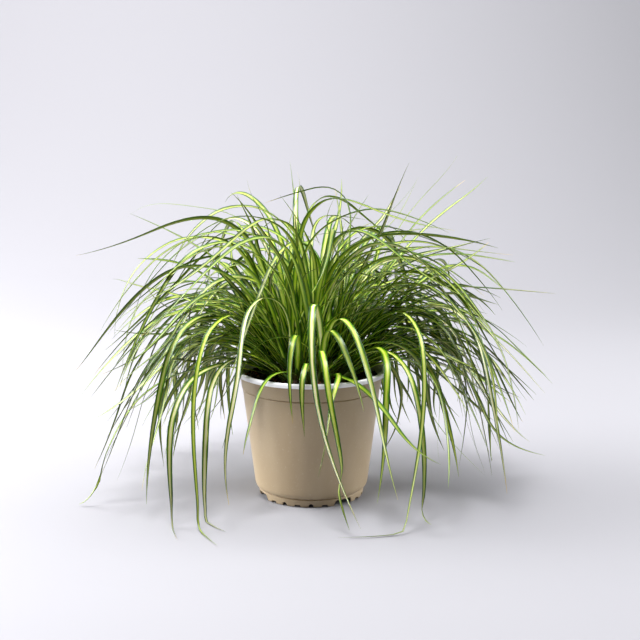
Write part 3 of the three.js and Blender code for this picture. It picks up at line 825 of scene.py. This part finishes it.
def has_room(line):
    """Whether a line keeps clear of the pot, the soil and the open front, and inside the plain box."""
    for at, *_ in line[SHEATHED_POINTS:]:
        r = math.hypot(at.x, at.y)
        if any(at[i] < low_box[i] + MARGIN or at[i] > high_box[i] - MARGIN for i in range(3)):
            return False
        if at.z < OVER_RIM and r < ROUND_RIM:
            if r > WITHIN_RIM or at.z < soil_height(at.x / MM, at.y / MM) * MM + MARGIN:
                return False
        in_front = abs(at.x) < FRONT_OPENING["half_width"] and at.y < FRONT_OPENING["from"]
        if in_front and at.z < FRONT_OPENING["height"]:
            return False
    return True


def slender_from(shoot, line, kind, rng):
    """A slender leaf's line, made from a grown leaf's line of the same shoot."""
    knee = shoot["knee"]
    turn = Matrix.Rotation(math.radians(rng.choice((-1, 1)) * rng.uniform(*kind["turn"])), 3, "Z")
    tip_axis = Vector((rng.uniform(-1, 1), rng.uniform(-1, 1), 0)).normalized()
    turn = Matrix.Rotation(math.radians(rng.uniform(-MOST_TIPPED, MOST_TIPPED)), 3, tip_axis) @ turn
    scale, width = rng.uniform(*kind["length"]), rng.uniform(*kind["width"])
    waves, shift, size = rng.uniform(0.6, 1.6), rng.uniform(0, TURN), rng.uniform(*kind["wave"]) * MM
    made = []
    for k, (at, face, half, fold, along) in enumerate(line):
        share = k / (len(line) - 1)
        swing = math.sin(TURN * waves * share + shift)
        bent = at + along.cross(face) * size * swing * smoothstep((share - 0.15) * 2)
        place = knee + turn @ ((bent - knee) * scale)
        made.append([place, turn @ face, half * width, fold * width * 1.3, turn @ along])
    return made


# How many on a shoot, the turn in degrees, the length and the width as shares, and the wave in mm.
YOUNG = {"each": 3, "turn": (8, 45), "length": (0.65, 1.05), "width": (0.5, 0.9), "wave": (3, 11)}
HAIR = {"each": 1, "turn": (10, 120), "length": (0.85, 1.1), "width": (0.2, 0.34), "wave": (6, 16)}
rng = random.Random(505)
for shoot in shoots:
    parents = [line for line in shoot["lines"] if min(p[0].z for p in line) > PARENT_HEIGHT]
    for kind in (YOUNG, HAIR):
        wanted, tries = len(shoot["lines"]) + kind["each"], 0
        while parents and len(shoot["lines"]) < wanted and tries < MOST_TRIES:
            tries += 1
            line = slender_from(shoot, rng.choice(parents), kind, rng)
            if has_room(line):
                shoot["lines"].append(line)
print("slender leaves:", sum(len(s["lines"]) - s["broad"] for s in shoots))

# %% [markdown]
# ## Leaf and sheath materials
#
# The leaf of this kind of sedge is striped along its length: a lime to cream band down the middle and a dark
# green margin on each side. Its skin is a thin wax over living cells, IOR about 1.45, roughness 0.26 to 0.4,
# so an arching leaf shines whitish where it faces the light. Light also enters the thin blade and spreads
# about 0.3 mm under its skin. The stripe's edge wavers, fine parallel veins run the whole length, the
# underside is duller, and many tips have dried to tan. As painted light, the inner half of a leaf is drawn
# brighter and the outer half darker, and its foot a deeper green as painted shade. Real veins stand about
# 0.25 mm apart, too fine for the picture, so nine are drawn over the width. Each leaf carries its own tone,
# paleness and length of dry tip as attributes, so that one material gives a tuft with no two leaves alike.

# %% Striped leaf
VEINS = 9
LIME = [(0.0, "#c4ce60"), (0.24, "#b2bf38"), (0.42, "#8fac16"), (0.58, "#508604"), (0.84, "#143e02")]
GREEN = [(0.0, "#a9ba34"), (0.34, "#8aaa14"), (0.56, "#4c8404"), (0.88, "#164002")]
CREAM = [(0.0, "#f1ebca"), (0.28, "#e6e0aa"), (0.42, "#a8b43c"), (0.56, "#4c7a0c"), (0.8, "#184004")]
HUSK = [(0.0, "#c2a768"), (0.1, "#8a6538")]
# The underside's duller green, and a deeper green drawn at a leaf's foot as painted shade.
UNDERSIDE, FOOT_SHADE_GREEN = linear("#86a41c"), linear("#446a0c")


def striped_leaf(name):
    material, tree, shader = new_material(name)
    across, along, upper, tone, pale, dry = (
        add(tree, "ShaderNodeAttribute", attribute_name=n).outputs["Fac"]
        for n in ("across", "along", "upper", "tone", "pale", "dry")
    )
    # A place on the leaf for the noises: slow along it, quick across it, and different on every leaf.
    own = calc(tree, "MULTIPLY", tone, 57.0)
    long_way = calc(tree, "MULTIPLY", along, 9.0)
    place = add(tree, "ShaderNodeCombineXYZ", [across, long_way, own])
    wobble = span(tree, clouds(tree, place, 1.1, 3.0), (0.25, 0.75), (-0.13, 0.13))
    stripe = calc(tree, "ADD", calc(tree, "ABSOLUTE", calc(tree, "ADD", across, wobble)), wobble)
    fresh = mix(tree, span(tree, tone, (0.45, 0.9)), ramp(tree, stripe, LIME), ramp(tree, stripe, GREEN))
    toned = mix(tree, pale, fresh, ramp(tree, stripe, CREAM))
    sided = mix(tree, span(tree, upper, (0.15, -0.15), (0.0, 0.15)), toned, UNDERSIDE)
    # Veins, and cells between them.
    vein_turn = calc(tree, "MULTIPLY", across, VEINS * math.pi)
    fine_way = add(tree, "ShaderNodeCombineXYZ", [vein_turn, long_way, own])
    cells = clouds(tree, fine_way, 2.6, 3.0)
    relief = calc(tree, "MULTIPLY_ADD", calc(tree, "COSINE", vein_turn), 0.25, cells)
    # Painted light: up to half again as bright near the foot, in the shade inside the tuft, and darker on
    # the outer half, where the lamps fall strongly.
    painted_light_along = span(tree, along, (0.15, 0.6), (1.5, 0.58))
    shade = calc(tree, "MULTIPLY", span(tree, relief, (0.1, 0.9), (0.8, 1.18)), painted_light_along)
    veined_and_painted_light = add(tree, "ShaderNodeHueSaturation", {"Value": shade, "Color": sided})
    # Painted shade: the foot, where the leaf comes out of its sheath deep in the tuft, is drawn a deeper
    # green.
    # Then the dry tip with its ragged edge.
    with_painted_foot_shade = mix(tree, span(tree, along, (0.13, 0.03), (0.0, 0.25)), veined_and_painted_light, FOOT_SHADE_GREEN)
    ragged = calc(tree, "MULTIPLY_ADD", cells, 0.05, calc(tree, "SUBTRACT", 1.0, along))
    gone = calc(tree, "SUBTRACT", dry, ragged)
    look = {
        "Base Color": mix(tree, span(tree, gone, (-0.03, 0.03)), with_painted_foot_shade, ramp(tree, gone, HUSK)),
        "Roughness": span(tree, cells, (0.2, 0.8), (0.26, 0.4)),
        "Normal": bump(tree, relief, 0.08, 0.5),
        "IOR": 1.45,
        "Specular IOR Level": 0.5,
        "Subsurface Weight": 0.45,
        "Subsurface Radius": (1.0, 0.9, 0.35),
        "Subsurface Scale": 0.3 * MM,
    }
    fill(tree, shader, look)
    return material


leaf_material = striped_leaf("waxy_striped_leaf")

# %% Sheath
SHEATH = [(0.25, "#3c2a1a"), (0.42, "#6d6238"), (0.6, "#5f7428"), (0.95, "#3f5f14")]


def leaf_sheath(name):
    material, tree, shader = new_material(name)
    along = add(tree, "ShaderNodeAttribute", attribute_name="along").outputs["Fac"]
    place = in_object(tree)
    grain = add(tree, "ShaderNodeMapping", {"Vector": place, "Scale": (1.0, 1.0, 0.12)})
    fibres = clouds(tree, grain, 1 / (0.7 * MM), 3.0)
    look = {
        "Base Color": ramp(tree, calc(tree, "MULTIPLY_ADD", fibres, 0.3, along), SHEATH),
        "Roughness": span(tree, fibres, new=(0.45, 0.65)),
        "Normal": bump(tree, fibres, 0.15, 0.6),
        "IOR": 1.45,
    }
    fill(tree, shader, look)
    return material


sheath_material = leaf_sheath("fibrous_leaf_sheath")
print("plant materials:", leaf_material.name, sheath_material.name)

# %% [markdown]
# ## The tree that turns lines into leaves
#
# Each shoot's lines go in as edges that carry a face direction, a half width and a fold depth. Geometry
# Nodes make smooth curves of them, set a closed ring of points on every station, and then push the ring into
# shape: for a leaf a thin channel with a fold down its middle, for the sheath a rounded three-sided tube.
# The curve does what a person laying a strip along a wire would do, and one tree serves all the shoots.

# %% Leaf tree
LEAF_INPUTS = {
    "Stations": "Int",
    "Points round a leaf": "Int",
    "Leaf thickness": "Float",
    "Leaf finish": "Material",
    "Sheath finish": "Material",
}
tree, entry = new_group("leaves_along_lines", LEAF_INPUTS)
lines, stations, points_round, thickness, leaf_finish, sheath_finish = list(entry.outputs)[:6]
half, fold, kind = (stored(tree, name) for name in ("half", "fold", "kind"))
face = stored(tree, "face", "FLOAT_VECTOR")
curves = add(tree, "GeometryNodeMeshToCurve", [lines])
curves = add(tree, "GeometryNodeCurveSplineType", [curves], spline_type="CATMULL_ROM")
curves = add(tree, "GeometryNodeResampleCurve", {"Curve": curves, "Count": stations})
share = add(tree, "GeometryNodeSplineParameter").outputs["Factor"]
heading = add(tree, "GeometryNodeInputTangent")
cross = add(tree, "ShaderNodeVectorMath", [face, heading], operation="CROSS_PRODUCT")
side = add(tree, "ShaderNodeVectorMath", [cross], operation="NORMALIZE")
front = add(tree, "ShaderNodeVectorMath", [heading, side], operation="CROSS_PRODUCT")
curves = noted(tree, curves, "along", share)
middle = add(tree, "GeometryNodeInputPosition")
for name, value in [("middle", middle), ("side", side), ("front", front)]:
    curves = noted(tree, curves, name, value, "FLOAT_VECTOR")
ring = add(tree, "GeometryNodeCurvePrimitiveCircle", {"Resolution": points_round, "Radius": 1 * MM})
ring = noted(tree, ring, "round", share)
tubes = add(tree, "GeometryNodeCurveToMesh", {"Curve": curves, "Profile Curve": ring, "Fill Caps": True})

# %% The ring's shape
THIN_TIP, LOBES = 0.3, 0.14  # thickness over width at most, and how far the sheath's three corners stand out
angle = calc(tree, "MULTIPLY", stored(tree, "round"), 2 * math.pi)
across, upper = calc(tree, "COSINE", angle), calc(tree, "SINE", angle)
sunk = calc(tree, "MULTIPLY", calc(tree, "SUBTRACT", 1.0, calc(tree, "ABSOLUTE", across)), fold)
thick, thin_tip = calc(tree, "MULTIPLY", thickness, 0.5), calc(tree, "MULTIPLY", half, THIN_TIP)
skin = calc(tree, "MULTIPLY", upper, calc(tree, "MINIMUM", thick, thin_tip))
lobes = calc(tree, "COSINE", calc(tree, "MULTIPLY", angle, 3.0))
radius = calc(tree, "MULTIPLY", half, calc(tree, "MULTIPLY_ADD", lobes, LOBES, 1.0))
leaf_x, leaf_y = calc(tree, "MULTIPLY", across, half), calc(tree, "SUBTRACT", skin, sunk)
sheath_x, sheath_y = (calc(tree, "MULTIPLY", way, radius) for way in (across, upper))
x = add(tree, "ShaderNodeMix", {0: kind, 2: leaf_x, 3: sheath_x})
y = add(tree, "ShaderNodeMix", {0: kind, 2: leaf_y, 3: sheath_y})

# %% Push the rings into shape and finish
middle, side, front = (stored(tree, name, "FLOAT_VECTOR") for name in ("middle", "side", "front"))
sideways = add(tree, "ShaderNodeVectorMath", {0: side, "Scale": x}, operation="SCALE")
outwards = add(tree, "ShaderNodeVectorMath", {0: front, "Scale": y}, operation="SCALE")
offset = add(tree, "ShaderNodeVectorMath", [sideways, outwards], operation="ADD")
target = add(tree, "ShaderNodeVectorMath", [middle, offset], operation="ADD")
shaped = add(tree, "GeometryNodeSetPosition", {"Geometry": tubes, "Position": target})
for name, value in [("across", across), ("upper", upper)]:
    shaped = noted(tree, shaped, name, value)
shaped = add(tree, "GeometryNodeSetShadeSmooth", [shaped])
realized = add(tree, "GeometryNodeRealizeInstances", [shaped])
is_sheath = add(tree, "FunctionNodeCompare", [kind, 0.5], operation="GREATER_THAN")
dressed = dress(tree, dress(tree, realized, leaf_finish), sheath_finish, Selection=is_sheath)
add(tree, "NodeGroupOutput", [dressed])
leaf_tree = tree
print("nodes in the leaf tree:", len(leaf_tree.nodes))

# %% [markdown]
# ## Fine shoots
#
# Every shoot's lines become one mesh of edges with their attributes, the tree turns them into leaves, and
# the result stands for the plain shoot. The oldest leaves hang lowest and are the palest, so more than a
# quarter of those that end low have the cream stripe, and one in ten of the others. The map lays the leaves
# of a shoot side by side in strips, each as long as the map, so its stripes and veins keep their sharpness
# when they are baked.

# %% Edges and attributes of a shoot
STATIONS, POINTS_ROUND, LEAF_THICKNESS = 40, 12, 0.34 * MM
LEAF_FACTS = ("half", "fold", "kind", "leaf", "tone", "pale", "dry")
CREAM_HALF_WIDTH = 4.1 * MM  # the very broadest leaves always have the cream stripe
HANGS_LOW, PALE_WHEN_LOW, PALE_OTHERWISE, DRY_TIPPED = 40 * MM, 0.28, 0.1, 0.3  # the last three are chances
# Radius in mm at the foot, at the knee, halfway up, where the sheath ends, and at its point.
SHEATH_RADII = (2.2, 2.4, 2.05, 1.5, 0.4)


def sheath_line(shoot):
    along, knee, height = shoot["along"], shoot["knee"], shoot["height"]
    face = square_to(Vector((1, 0, 0)), along)
    places = [shoot["foot"], knee, *(knee + along * way for way in (0.5 * height, height, height + 3 * MM))]
    return [[at, face, radius * MM, 0.0, along] for at, radius in zip(places, SHEATH_RADII)]


def lines_object(shoot, rng):
    vertices, edges, facts, faces = [], [], {name: [] for name in LEAF_FACTS}, []
    for index, line in enumerate(shoot["lines"] + [sheath_line(shoot)]):
        is_sheath = index == len(shoot["lines"])
        tone, chance = rng.random(), rng.random()
        broadest = max(point[2] for point in line)
        often_pale = PALE_WHEN_LOW if line[-1][0].z < HANGS_LOW else PALE_OTHERWISE
        is_pale = chance < often_pale or broadest > CREAM_HALF_WIDTH
        pale = rng.uniform(0.6, 1.0) if is_pale else rng.uniform(0.0, 0.25)
        dry = rng.uniform(0.02, 0.08) if rng.random() < DRY_TIPPED else -0.1
        for k, (at, face, half, fold, _) in enumerate(line):
            if k:
                edges.append((len(vertices) - 1, len(vertices)))
            vertices.append(at)
            faces.append(face)
            values = (half, fold, float(is_sheath), float(index), tone, pale, dry)
            for name, value in zip(LEAF_FACTS, values):
                facts[name].append(value)
    piece = new_object(shoot["name"].replace("leafy_shoot", "sedge_shoot"), vertices, edges=edges)
    for name, values in facts.items():
        store(piece.data, name, values)
    store(piece.data, "face", [c for f in faces for c in f], "FLOAT_VECTOR")
    return piece


# %% Map with a strip for each leaf
STRIP_START, STRIP_WIDTH = 0.06, 0.88  # of each leaf's share of the map
STRIP_FOOT, STRIP_LENGTH = 0.01, 0.98  # of the map's height


def values_of(mesh, name):
    values = np.zeros(len(mesh.vertices), np.float32)
    mesh.attributes[name].data.foreach_get("value", values)
    return values


def lay_strips(mesh, strips):
    """Maps each leaf to a strip. A face over the seam runs on past the strip's end."""
    corner = np.zeros(len(mesh.loops), np.int32)
    mesh.loops.foreach_get("vertex_index", corner)
    starts = np.array([p.loop_start for p in mesh.polygons])
    round_share = values_of(mesh, "round")[corner]
    most = np.maximum.reduceat(round_share, starts)
    owner = np.repeat(np.arange(len(starts)), np.diff(np.append(starts, len(corner))))
    round_share = np.where((most[owner] > 0.7) & (round_share < 0.3), round_share + 1, round_share)
    strip = np.round(values_of(mesh, "leaf")[corner])
    across_map = (strip + STRIP_START + STRIP_WIDTH * round_share) / strips
    along_map = STRIP_FOOT + STRIP_LENGTH * values_of(mesh, "along")[corner]
    layer = mesh.uv_layers.new(name="OFBake")
    layer.data.foreach_set("uv", np.stack([across_map, along_map], 1).astype(np.float32).ravel())


# %% Grow them all
rng = random.Random(606)
leaf_values = (STATIONS, POINTS_ROUND, LEAF_THICKNESS, leaf_material, sheath_material)
total = 0
for shoot in shoots:
    piece = lines_object(shoot, rng)
    run_group(piece, leaf_tree, dict(zip(LEAF_INPUTS, leaf_values)))
    lay_strips(piece.data, len(shoot["lines"]) + 1)
    for name in ("half", "fold", "kind", "face", "middle", "side", "front", "round"):
        piece.data.attributes.remove(piece.data.attributes[name])
    stand_for(piece, shoot["name"])
    total += sum(len(p.vertices) - 2 for p in piece.data.polygons)
print("leaves:", sum(len(s["lines"]) for s in shoots), "triangles:", total)

# %% [markdown]
# ## Floor and backdrop
#
# The floor is a sheet of pale grey paper that curves up behind the plant, as in a photographer's cove, so
# that no edge shows. Its grey is drawn darker from left to right, as painted shade for light that falls off
# towards the right. It isn't part of the plant.

# %% Cove
FLAT_UNTIL, COVE_RADIUS, COVE_TOP, COVE_HALF_WIDTH = 0.8, 1.6, 4.5, 4.0  # metres
cove_profile = [(-3.0, 0.0), (FLAT_UNTIL, 0.0)]
for a in np.linspace(0.08, math.pi / 2, 18):
    cove_profile.append((FLAT_UNTIL + COVE_RADIUS * math.sin(a), COVE_RADIUS - COVE_RADIUS * math.cos(a)))
cove_profile.append((FLAT_UNTIL + COVE_RADIUS, COVE_TOP))
vertices = [(x, y, z - 0.1 * MM) for y, z in cove_profile for x in (-COVE_HALF_WIDTH, COVE_HALF_WIDTH)]
faces = [(2 * k, 2 * k + 1, 2 * k + 3, 2 * k + 2) for k in range(len(cove_profile) - 1)]
cove = new_object("paper_cove", vertices, faces=faces)
paper, tree, shader = new_material("pale_grey_paper")
# Painted shade: the paper's grey darkens from left to right, as the light falls off towards the right.
darker = span(tree, add(tree, "ShaderNodeSeparateXYZ", [in_object(tree)]), (-0.8, 1.0))
paper_with_painted_shade = ramp(tree, darker, [(0.0, "#8d8c91"), (1.0, "#77777b")])
fill(tree, shader, {"Base Color": paper_with_painted_shade, "Roughness": 0.85})
cove.data.materials.append(paper)
for polygon in cove.data.polygons:
    polygon.use_smooth = True
print("cove faces:", len(cove.data.polygons))

# %% [markdown]
# ## Light
#
# Two strip boxes stand low at the sides, a little behind the plant, so that the pot's round wall is bright
# at the left edge, darkest a little right of the middle and bright again at the right edge, which is what
# makes it look round. A small box steeply above the front gives the arching leaves their pale shine and
# leaves shade between them. A fourth lights only the backdrop. The world is dim in front and bright behind,
# so it fills the shadows and the outer leaves glow a little, without flattening the front of the pot.

# %% Soft boxes
def soft_box(name, place, target, width, height, watts):
    data = bpy.data.lights.new(name, "AREA")
    data.shape = "RECTANGLE"
    data.size, data.size_y, data.energy = width, height, watts
    lamp = placed(name, data)
    lamp.location = place
    lamp.rotation_euler = (Vector(target) - Vector(place)).to_track_quat("-Z", "Y").to_euler()


soft_box("left_box", (-1.2, 0.17, 0.6), (0, 0, 0.12), 0.8, 1.2, 53)
soft_box("right_box", (1.2, 0.21, 0.55), (0, 0, 0.1), 0.6, 1.0, 24)
soft_box("top_box", (-0.2, -0.5, 1.85), (0, -0.05, 0.1), 0.5, 0.4, 52)
soft_box("backdrop_box", (-0.55, 1.0, 1.9), (-0.45, 2.3, 0.6), 3.2, 1.0, 88)
world = bpy.data.worlds.new("grey_room")
world.use_nodes = True
tree = world.node_tree
way = add(tree, "ShaderNodeTexCoord").outputs["Generated"]
back_and_front = add(tree, "ShaderNodeSeparateXYZ", [way]).outputs[1]
glow = span(tree, back_and_front, (-0.9, 0.1), (0.03, 0.7))
fill(tree, tree.nodes["Background"], {"Color": linear("#eeeef2"), "Strength": glow})
bpy.context.scene.world = world
bpy.context.scene.view_settings.view_transform = "Standard"

# %% [markdown]
# ## Sizes, and the end
#
# The dressed plant must stay inside the plain model's box, apart from a few millimetres. The plain box is
# written down.

# %% Write down the plain box
print("plain box:", [tuple(round(v, 4) for v in c) for c in plain_box])
